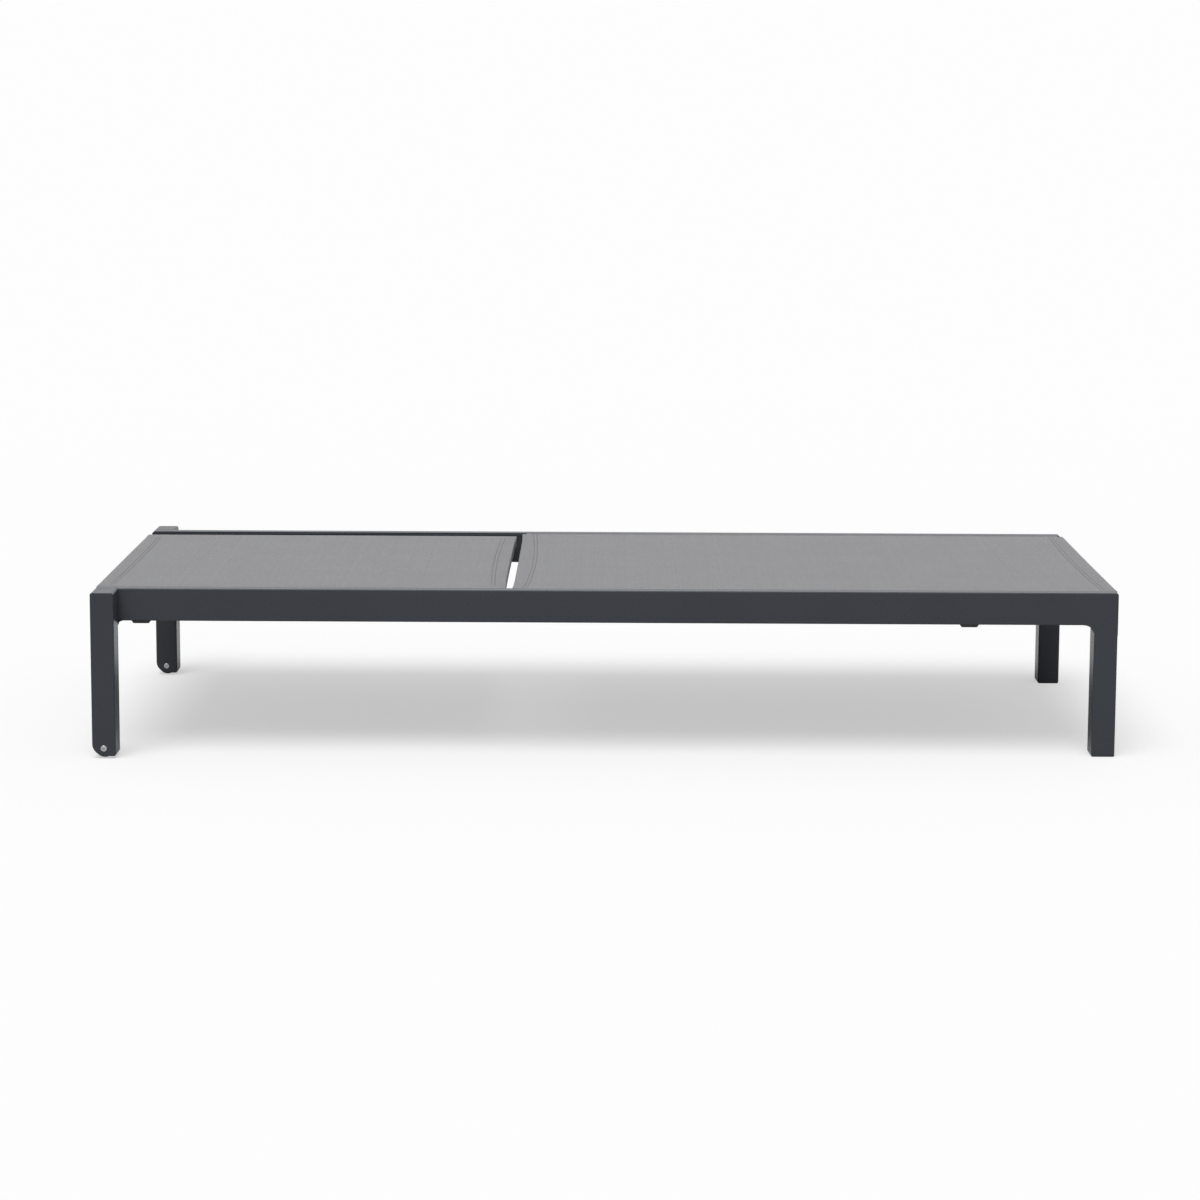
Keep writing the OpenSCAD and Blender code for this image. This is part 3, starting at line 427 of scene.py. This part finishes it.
for subpart in frame["record"]["subparts"]:
    node = frame["nodes"][subpart["node"]]
    for material_slot in node.material_slots:
        material_slot.material = finishes[subpart["material_slot"]]


# ---- Meshes ----


def smooth(mesh, sharp_edge):
    mesh.shade_smooth()
    mesh.set_sharp_from_angle(angle=math.radians(sharp_edge))


def new_piece(name, bm, material):
    """An object made from the bmesh."""
    mesh = bpy.data.meshes.new(name)
    bmesh.ops.recalc_face_normals(bm, faces=bm.faces)
    bm.to_mesh(mesh)
    bm.free()
    smooth(mesh, SHARP_EDGE)
    mesh.materials.append(material)
    piece = bpy.data.objects.new(name, mesh)
    bpy.context.scene.collection.objects.link(piece)
    return piece


def thicken(piece, thickness):
    """Gives a sheet its thickness, half on each side."""
    solidify = piece.modifiers.new("thickness", "SOLIDIFY")
    solidify.thickness = thickness
    solidify.offset = 0.0
    evaluated = piece.evaluated_get(bpy.context.evaluated_depsgraph_get())
    thick = bpy.data.meshes.new_from_object(evaluated)
    piece.modifiers.remove(solidify)
    thin, piece.data = piece.data, thick
    thick.name = piece.name
    bpy.data.meshes.remove(thin)
    smooth(thick, SHARP_CLOTH_EDGE)


def add_grid(bm, rows):
    """Faces between rows of vertices."""
    for a, b in zip(rows, rows[1:]):
        for i in range(len(a) - 1):
            bm.faces.new((a[i], a[i + 1], b[i + 1], b[i]))


def add_tube(bm, path, radii, axis, closed, sides):
    """A tube along the path, whose sections have the axis as one of their directions."""
    rings = []
    count = len(path)
    angles = [2 * math.pi * k / sides for k in range(sides)]
    for i, (point, radius) in enumerate(zip(path, radii)):
        before = path[i - 1] if closed or i else point
        after = path[(i + 1) % count] if closed or i < count - 1 else point
        across = (after - before).cross(axis).normalized()
        ring = [point + radius * (math.cos(a) * across + math.sin(a) * axis) for a in angles]
        rings.append([bm.verts.new(place) for place in ring])
    for i in range(count if closed else count - 1):
        a, b = rings[i], rings[(i + 1) % count]
        for k in range(sides):
            bm.faces.new((a[k], a[(k + 1) % sides], b[(k + 1) % sides], b[k]))
    if not closed:
        bm.faces.new(rings[0])
        bm.faces.new(rings[-1])


def add_thread(bm, path):
    """The part of one stitch that lies on the fabric."""
    radii = [THREAD_R * k for k in STITCH_SWELL]
    path = [Vector(place) for place in path]
    add_tube(bm, path, radii, Vector((0, 0, 1)), closed=False, sides=THREAD_SIDES)


def arc(centre, radius, start, end, count=7):
    """Points of an arc in a plane, with its angles in degrees."""
    angles = [math.radians(start + (end - start) * k / (count - 1)) for k in range(count)]
    return [(centre[0] + radius * math.cos(a), centre[1] + radius * math.sin(a)) for a in angles]


def length_of(path):
    return sum(math.dist(a, b) for a, b in zip(path, path[1:]))


# ---- Slings ----

# In this part a share is a place across a sling: -1 at its right side, 1 at its left side


def row_place(row, share):
    """Distance of a row of stitches from the sling's end."""
    right, middle, left = row
    side = left if share > 0 else right
    return middle + (side - middle) * share * share


def pull(row, share):
    """How hard a row's stitches pull, as a part of the hardest."""
    phase = PUCKER_PHASE * sum(row)
    return PULL + sum(high * math.sin(waves * share + phase) for high, waves in PUCKERS)


def pinch(d, rows, share):
    """How far stitches press the fabric together at the distance d from the sling's end."""
    return sum(
        pull(row, share) * math.exp(-(((d - row_place(row, share)) / GROOVE_W) ** 2)) for row in rows
    )


def stand_off(off, share):
    """How far a hem stands off its bar."""
    middle, slope, bow, flare = off
    return middle + slope * share + bow * share**2 + flare * share**8


def hem_path(rows, share, top, sleeve_s, off):
    """Middle of the fabric from the end of a hem's turned-in layer, round the bar, to the open sling.

    Each point is a distance from the sling's end and a height."""
    first, last = (row_place(row, share) for row in rows)
    between = (first + last) / 2
    inset = HEM_EDGE_R + CLOTH_T / 2
    near, far = inset, sleeve_s - inset
    high, low = top - inset, top - sleeve_s + inset

    def upper(d):
        return top - CLOTH_T / 2 - GROOVE * pinch(d, rows, share)

    def lower(d):
        return upper(d) - CLOTH_T - LAYER_GAP * (1 - min(1, pinch(d, rows, share)))

    tail = [last + TAIL, last + TAIL / 2, *(last - k for k in ROW_STEPS), between]
    tail += [first - k for k in ROW_STEPS if k <= TAIL_TURN]
    path = [(d, lower(d)) for d in tail]
    # Straight down to the bar's lower edge, then round the bar
    d0, z0 = path[-1]
    away = math.hypot(d0 - far, z0 - low)
    start = math.degrees(math.atan2(z0 - low, d0 - far) - math.acos(HEM_EDGE_R / away))
    touch = arc((far, low), HEM_EDGE_R, start, -90)
    path += [(d0 + (touch[0][0] - d0) * t, z0 + (touch[0][1] - z0) * t) for t in (0.25, 0.5, 0.75)]
    path += touch + [((near + far) / 2, top - sleeve_s + CLOTH_T / 2)]
    path += arc((near, low), HEM_EDGE_R, -90, -180) + [(CLOTH_T / 2, (high + low) / 2)]
    path += arc((near, high), HEM_EDGE_R, -180, -270)
    top_side = [*END_STEPS, *(first + k for k in ROW_STEPS), between]
    top_side += [*(last + k for k in ROW_STEPS), *(last + k for k in FIELD_STEPS), HEM_L]
    path += [(d, upper(d)) for d in top_side]
    return [(d - off * max(0.0, 1 - d / SOFT_L), z) for d, z in path]


class Sling:
    """A sling between two bars. Its rows of vertices run across, from the right side to the left."""

    def __init__(self, node, bar, half, lo_end, hi_end, sag):
        lo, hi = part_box(node)
        bar_lo, bar_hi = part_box(bar)
        self.x_lo, self.x_hi, self.top = lo.x, hi.x, hi.z
        self.half, self.sag = half, sag
        self.ends = [(lo.x, 1, *lo_end), (hi.x, -1, *hi_end)]
        self.sleeve_s = bar_hi.z - bar_lo.z + 2 * SLEEVE_WRAP
        self.bm = bmesh.new()
        self.hem = self.bm.verts.layers.float.new("hem")
        ys = [half * (2 * i / (COLUMNS - 1) - 1) for i in range(COLUMNS)]
        paths = [self.path_at(y) for y in ys]
        self.length = length_of(paths[COLUMNS // 2])
        self.rows = [
            [self.vertex(path[i][0], y, path[i][1]) for path, y in zip(paths, ys)]
            for i in range(len(paths[0]))
        ]
        add_grid(self.bm, self.rows)

    def vertex(self, x, y, z):
        """A vertex that knows how far it lies within a hem, from 0 to 1, which sets how much painted
        shade it gets.
        """
        vertex = self.bm.verts.new((x, y, z))
        share = max(-1.0, min(1.0, y / self.half))
        for edge, inward, rows, _ in self.ends:
            past = (x - edge) * inward - row_place(rows[-1], share)
            vertex[self.hem] += max(0.0, min(1.0, 1 - (past - SHADE_END) / SHADE_FADE))
        return vertex

    def sag_at(self, x, y):
        lengthwise = max(0.0, math.sin(math.pi * (x - self.x_lo) / (self.x_hi - self.x_lo)))
        return self.sag * (1 - (y / self.half) ** 2) * lengthwise**SAG_POWER

    def path_at(self, y):
        """Places in X and Z along the whole sling at y, from one turned-in end to the other."""
        share = y / self.half
        hems = []
        for edge, inward, rows, off in self.ends:
            path = hem_path(rows, share, self.top, self.sleeve_s, stand_off(off, share))
            hems.append([(edge + inward * d, z) for d, z in path])
        first, last = hems
        x0, x1 = first[-1][0], last[-1][0]
        field = [x0 + (x1 - x0) * k / FIELD_ROWS for k in range(1, FIELD_ROWS)]
        path = first + [(x, self.top - CLOTH_T / 2) for x in field] + last[::-1]
        return [(x, z - self.sag_at(x, y)) for x, z in path]

    def edge_rows(self, side, x0, x1):
        """Vertices of the top layer along one side of the sling, from x0 to x1."""
        column = -1 if side > 0 else 0
        edge = [row[column] for row in self.rows]
        lowest = self.top - CLOTH_T - GROOVE
        hair = 1e-6
        return [v for v in edge if x0 - hair <= v.co.x <= x1 + hair and v.co.z > lowest]

    def add_side(self, side, edge, profile_at, extra=()):
        """A strip along one side that follows a profile of distances from the middle and heights.

        The extra stations are each a place and how far the profile is drawn in there."""
        stations = [(v.co.x, v, 0.0) for v in edge] + [(x, None, drawn) for x, drawn in extra]
        stations.sort(key=lambda station: station[0])
        rows = []
        for x, vertex, drawn in stations:
            if vertex is None:
                vertex = self.vertex(x, side * self.half, self.top - CLOTH_T / 2 - drawn)
            rows.append([vertex] + [self.vertex(x, side * y, z) for y, z in profile_at(drawn)])
        add_grid(self.bm, rows)
        return stations[-1][0] - stations[0][0]

    def stitches(self, name, seams):
        """The threads of all rows of stitches, on both faces of each hem, and of the side seams."""
        bm = bmesh.new()
        count = int(2 * (self.half - ROW_MARGIN) / STITCH_PITCH)
        for edge, inward, rows, _ in self.ends:
            for row in rows:
                for i in range(count):
                    self.add_stitch(bm, edge, inward, row, (i - (count - 1) / 2) * STITCH_PITCH)
        if seams:
            self.add_seams(bm, *seams)
        return new_piece(name, bm, thread_finish)

    def add_stitch(self, bm, edge, inward, row, middle):
        """A hem's stitch, which shows on its upper and on its lower face."""
        upper = self.top - GROOVE * pull(row, middle / self.half) + THREAD_PROUD
        lower = upper - 2 * (CLOTH_T + THREAD_PROUD)
        for height, outward in ((upper, 1), (lower, -1)):
            path = []
            for along, deep in zip(STITCH_AT, STITCH_SINK):
                y = middle + along * STITCH_L
                x = edge + inward * row_place(row, y / self.half)
                path.append((x, y, height - outward * deep * THREAD_R - self.sag_at(x, y)))
            add_thread(bm, path)

    def add_seams(self, bm, y, x0, x1):
        """A row of stitches along each side, at y from the middle."""
        height = self.top + SEAM_PROUD
        for side in (-1, 1):
            for i in range(int((x1 - x0) / STITCH_PITCH)):
                middle = x0 + (i + 0.5) * STITCH_PITCH
                path = []
                for along, deep in zip(STITCH_AT, STITCH_SINK):
                    path.append((middle + along * STITCH_L, side * y, height - deep * THREAD_R))
                add_thread(bm, path)


def make_seat():
    """The seat sling, whose sides go over the rails' lips into their keder channels.

    Returns the sling, the length and width of its side strips, and the place of its side seams."""
    rail_lo, rail_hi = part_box("rail_left")
    keder_lo, keder_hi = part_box("seat_keder_left")
    hip, foot = (SEAT_HIP_ROWS, SEAT_HIP_OFF), (SEAT_FOOT_ROWS, SEAT_FOOT_OFF)
    sling = Sling("seat_sling", "seat_hip_tube", rail_lo.y - CLOTH_GAP, hip, foot, SEAT_SAG)
    keder_y = (keder_lo.y + keder_hi.y) / 2
    flat, crown = sling.top - CLOTH_T / 2, rail_hi.z - CLOTH_T / 2
    inner = keder_y - KEDER_SLACK
    profile = [(keder_y - before, flat + part * (crown - flat)) for before, part in RAIL_RISE]
    profile += arc((inner - KEDER_BEND, crown - KEDER_BEND), KEDER_BEND, 100, 0, 6)
    profile += [(inner, flat - KEDER_DROP), (keder_y, keder_hi.z + CLOTH_GAP)]
    strip = 0.0
    for side in (-1, 1):
        edge = sling.edge_rows(side, sling.x_lo + STRIP_END, sling.x_hi - STRIP_END)
        strip += sling.add_side(side, edge, lambda drawn: profile)
    seams = (keder_y - SEAM_IN, sling.x_lo + SEAM_END, sling.x_hi - SEAM_END)
    return sling, strip, keder_y + KEDER_BEND - sling.half, seams


def make_back():
    """The backrest's sling, wrapped round the side tubes into the keder channels under them.

    Returns what make_seat does, but it has no side seams."""
    tube_lo, tube_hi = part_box("back_tube_left")
    keder_lo, keder_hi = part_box("back_keder_left")
    head, hip = (BACK_HEAD_ROWS, BACK_HEAD_OFF), (BACK_HIP_ROWS, BACK_HIP_OFF)
    sling = Sling("back_sling", "back_hip_tube", tube_lo.y - CLOTH_GAP, head, hip, BACK_SAG)
    keder_y = (keder_lo.y + keder_hi.y) / 2
    gap = CLOTH_GAP + CLOTH_T / 2

    def profile_at(drawn):
        upper, lower = sling.top - CLOTH_T / 2 - drawn, tube_lo.z - gap + drawn
        outer = tube_hi.y + gap - drawn
        corner = TUBE_EDGE_R + gap
        profile = [(tube_lo.y + step, upper) for step in TUBE_STEPS]
        profile += arc((outer - corner, upper - corner), corner, 90, 0)
        profile += arc((outer - corner, lower + corner), corner, 0, -90)
        profile += [(keder_y + UNDER_STEP, lower)]
        profile += arc((keder_y + KEDER_BEND, lower + KEDER_BEND), KEDER_BEND, -90, -180, 4)
        return profile + [(keder_y, keder_lo.z - CLOTH_GAP)]

    strip = 0.0
    for side in (-1, 1):
        head_end = sling.x_lo - stand_off(BACK_HEAD_OFF, side)
        hip_end = sling.x_hi + stand_off(BACK_HIP_OFF, side)
        extra = [(head_end + d, drawn) for d, drawn in WRAP_ENDS]
        extra += [(hip_end - d, drawn) for d, drawn in WRAP_ENDS]
        edge = sling.edge_rows(side, sling.x_lo + WRAP_END_L, sling.x_hi - WRAP_END_L)
        strip += sling.add_side(side, edge, profile_at, extra)
    return sling, strip, length_of(profile_at(0.0)), None


def finish_sling(name, body, replaced, made):
    """The sling's fabric and its stitches, as two pieces on a body."""
    sling, strip_length, strip_width, seams = made
    stitches = sling.stitches(name + "_stitches", seams)
    cloth = new_piece(name, sling.bm, finishes["sling"])
    thicken(cloth, CLOTH_T)
    for piece in (cloth, stitches):
        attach(piece, body)
    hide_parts(replaced)


finish_sling("seat_sling_cloth", "frame", "seat_sling", make_seat())
finish_sling("back_sling_cloth", "backrest", "back_sling", make_back())


# ---- Weld beads ----

WELDED_BARS = (
    "head_crossbar",
    "foot_crossbar",
    "hinge_brace_bar",
    "seat_brace_hip",
    "seat_brace_foot",
)


def fine_path(corners, closed):
    """Points at about equal steps along a line through the corners."""
    path = []
    for a, b in zip(corners, corners[1:] + corners[:1] if closed else corners[1:]):
        count = max(1, round((b - a).length * RIPPLE_STEPS / RIPPLE))
        path += [a.lerp(b, k / count) for k in range(count)]
    return path if closed else path + [corners[-1]]


def add_bead(bm, corners, radius, closed):
    """A weld bead along a line, with the ripples that the weld pool leaves."""
    path = fine_path(corners, closed)
    travelled, radii = 0.0, []
    for i, point in enumerate(path):
        travelled += (point - path[i - 1]).length if i else 0.0
        ripple = abs(math.sin(math.pi * travelled / RIPPLE))
        radii.append(radius * (1 - RIPPLE_DEPTH * (1 - ripple)))
    add_tube(bm, path, radii, Vector((0, 1, 0)), closed, sides=WELD_SIDES)


def section_loop(lo, hi, y, corner):
    """Outline of a bar's rounded section in the plane y."""
    centres = [(hi.x - corner, hi.z - corner, 0), (lo.x + corner, hi.z - corner, 90)]
    centres += [(lo.x + corner, lo.z + corner, 180), (hi.x - corner, lo.z + corner, 270)]
    return [
        Vector((across, y, up))
        for x, z, start in centres
        for across, up in arc((x, z), corner, start, start + 90, 5)
    ]


def make_welds(name, body, loops, lines, loop_r, line_r=0.0):
    bm = bmesh.new()
    for corners in loops:
        add_bead(bm, corners, loop_r, closed=True)
    for corners in lines:
        add_bead(bm, corners, line_r, closed=False)
    welds = new_piece(name, bm, finishes["powder_coat"])
    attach(welds, body)


def bar_loops():
    """Round both ends of each bar that is welded between the rails."""
    loops = []
    for bar in WELDED_BARS:
        lo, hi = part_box(bar)
        loops += [section_loop(lo, hi, y, BAR_CORNER_R) for y in (lo.y + WELD_IN, hi.y - WELD_IN)]
    return loops


def spreader_loops():
    """Round both ends of the backrest's round spreader, which meets the middles of its tubes."""
    bar_lo, bar_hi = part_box("back_spreader")
    tube_lo, tube_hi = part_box("back_tube_left")
    radius = (bar_hi.x - bar_lo.x) / 2
    middle = (tube_lo.z + tube_hi.z) / 2
    lo, hi = Vector((bar_lo.x, 0, middle - radius)), Vector((bar_hi.x, 0, middle + radius))
    ends = (-(tube_lo.y - WELD_IN), tube_lo.y - WELD_IN)
    return [section_loop(lo, hi, y, radius * NEARLY_ROUND) for y in ends]


def bracket_lines():
    """Along both faces of each bracket, where it meets its side tube."""
    lines = []
    for bracket in ("hinge_bracket", "stay_bracket"):
        for side in ("right", "left"):
            lo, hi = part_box(f"{bracket}_{side}")
            x0, x1, z = lo.x + BRACKET_WELD_IN, hi.x - BRACKET_WELD_IN, hi.z - BRACKET_WELD_LOW
            lines += [[Vector((x0, y, z)), Vector((x1, y, z))] for y in (lo.y, hi.y)]
    return lines


make_welds("frame_welds", "frame", bar_loops(), [], WELD_R)
make_welds(
    "backrest_welds", "backrest", spreader_loops(), bracket_lines(), SPREADER_WELD_R, BRACKET_WELD_R
)


# ---- Camera, light and floor ----


def make_camera():
    data = bpy.data.cameras.new("camera")
    data.lens = CAMERA_LENS
    data.sensor_width = CAMERA_SENSOR
    data.shift_y = CAMERA_SHIFT
    data.clip_end = CAMERA_REACH
    camera = bpy.data.objects.new("camera", data)
    pitch = Matrix.Rotation(math.pi / 2 - CAMERA_PITCH, 4, "X")
    turn = Matrix.Rotation(-CAMERA_YAW, 4, "Z") @ pitch @ Matrix.Rotation(CAMERA_ROLL, 4, "Z")
    camera.matrix_world = Matrix.Translation(CAMERA_AT) @ turn
    bpy.context.scene.collection.objects.link(camera)
    bpy.context.scene.camera = camera


def make_world():
    """Soft light from above, and a white backdrop where the camera sees it."""
    world = bpy.data.worlds.new("studio")
    bpy.context.scene.world = world
    world.use_nodes = True
    n = Nodes(world.node_tree)
    background = n.tree.nodes["Background"]
    background.inputs["Color"].default_value = (1, 1, 1, 1)
    direction = n.new("SeparateXYZ")
    n.link(n.new("TexCoord").outputs["Generated"], direction.inputs[0])
    sky = n.ramp(direction.outputs[2], 0.0, 1.0, 0.0, SKY, kind="LINEAR")
    strength = n.ramp(n.seen_ray(), 0.0, 1.0, sky, WHITE, kind="LINEAR")
    n.link(strength, background.inputs["Strength"])


def floor_material():
    """A pale floor that keeps the object's shadow and turns into the backdrop further off."""
    material = bpy.data.materials.new("studio_floor")
    material.use_nodes = True
    n = Nodes(material.node_tree)
    n.tree.nodes.remove(n.tree.nodes["Principled BSDF"])
    seen = n.seen_ray()
    matt = n.new("BsdfDiffuse")
    n.link(n.ramp(seen, 0.0, 1.0, FLOOR_BOUNCE, WHITE, kind="LINEAR"), matt.inputs["Color"])
    glow = n.new("Emission")
    glow.inputs["Strength"].default_value = WHITE
    away = n.new("VectorMath")
    away.operation = "LENGTH"
    n.link(n.new("NewGeometry").outputs["Position"], away.inputs[0])
    # Reflections nearby keep the whole of the shadow
    near = n.math("MULTIPLY", n.new("LightPath").outputs["Is Camera Ray"], FLOOR_GLOW)
    share = n.math("MULTIPLY", n.ramp(away.outputs["Value"], *FADE, near, 1.0), seen)
    above = n.mix_shaders(share, matt.outputs[0], glow.outputs[0])
    # From below, the floor is clear, so that the underside can be looked at
    below = n.new("NewGeometry").outputs["Backfacing"]
    surface = n.mix_shaders(below, above, n.new("BsdfTransparent").outputs[0])
    n.link(surface, n.tree.nodes["Material Output"].inputs["Surface"])
    return material


def make_floor():
    mesh = bpy.data.meshes.new("floor")
    signs = ((-1, -1), (1, -1), (1, 1), (-1, 1))
    corners = [(FLOOR_REACH * x, FLOOR_REACH * y, 0) for x, y in signs]
    mesh.from_pydata(corners, [], [(0, 1, 2, 3)])
    mesh.materials.append(floor_material())
    floor = bpy.data.objects.new("floor", mesh)
    bpy.context.scene.collection.objects.link(floor)


def make_key_light():
    data = bpy.data.lights.new("key", "SUN")
    data.energy = KEY_POWER
    data.angle = math.radians(KEY_ANGLE)
    key = bpy.data.objects.new("key", data)
    key.rotation_euler = (math.radians(KEY_FRONT), math.radians(-KEY_HEAD), 0)
    bpy.context.scene.collection.objects.link(key)


make_camera()
make_world()
make_floor()
make_key_light()
bpy.context.scene.view_settings.view_transform = "Standard"
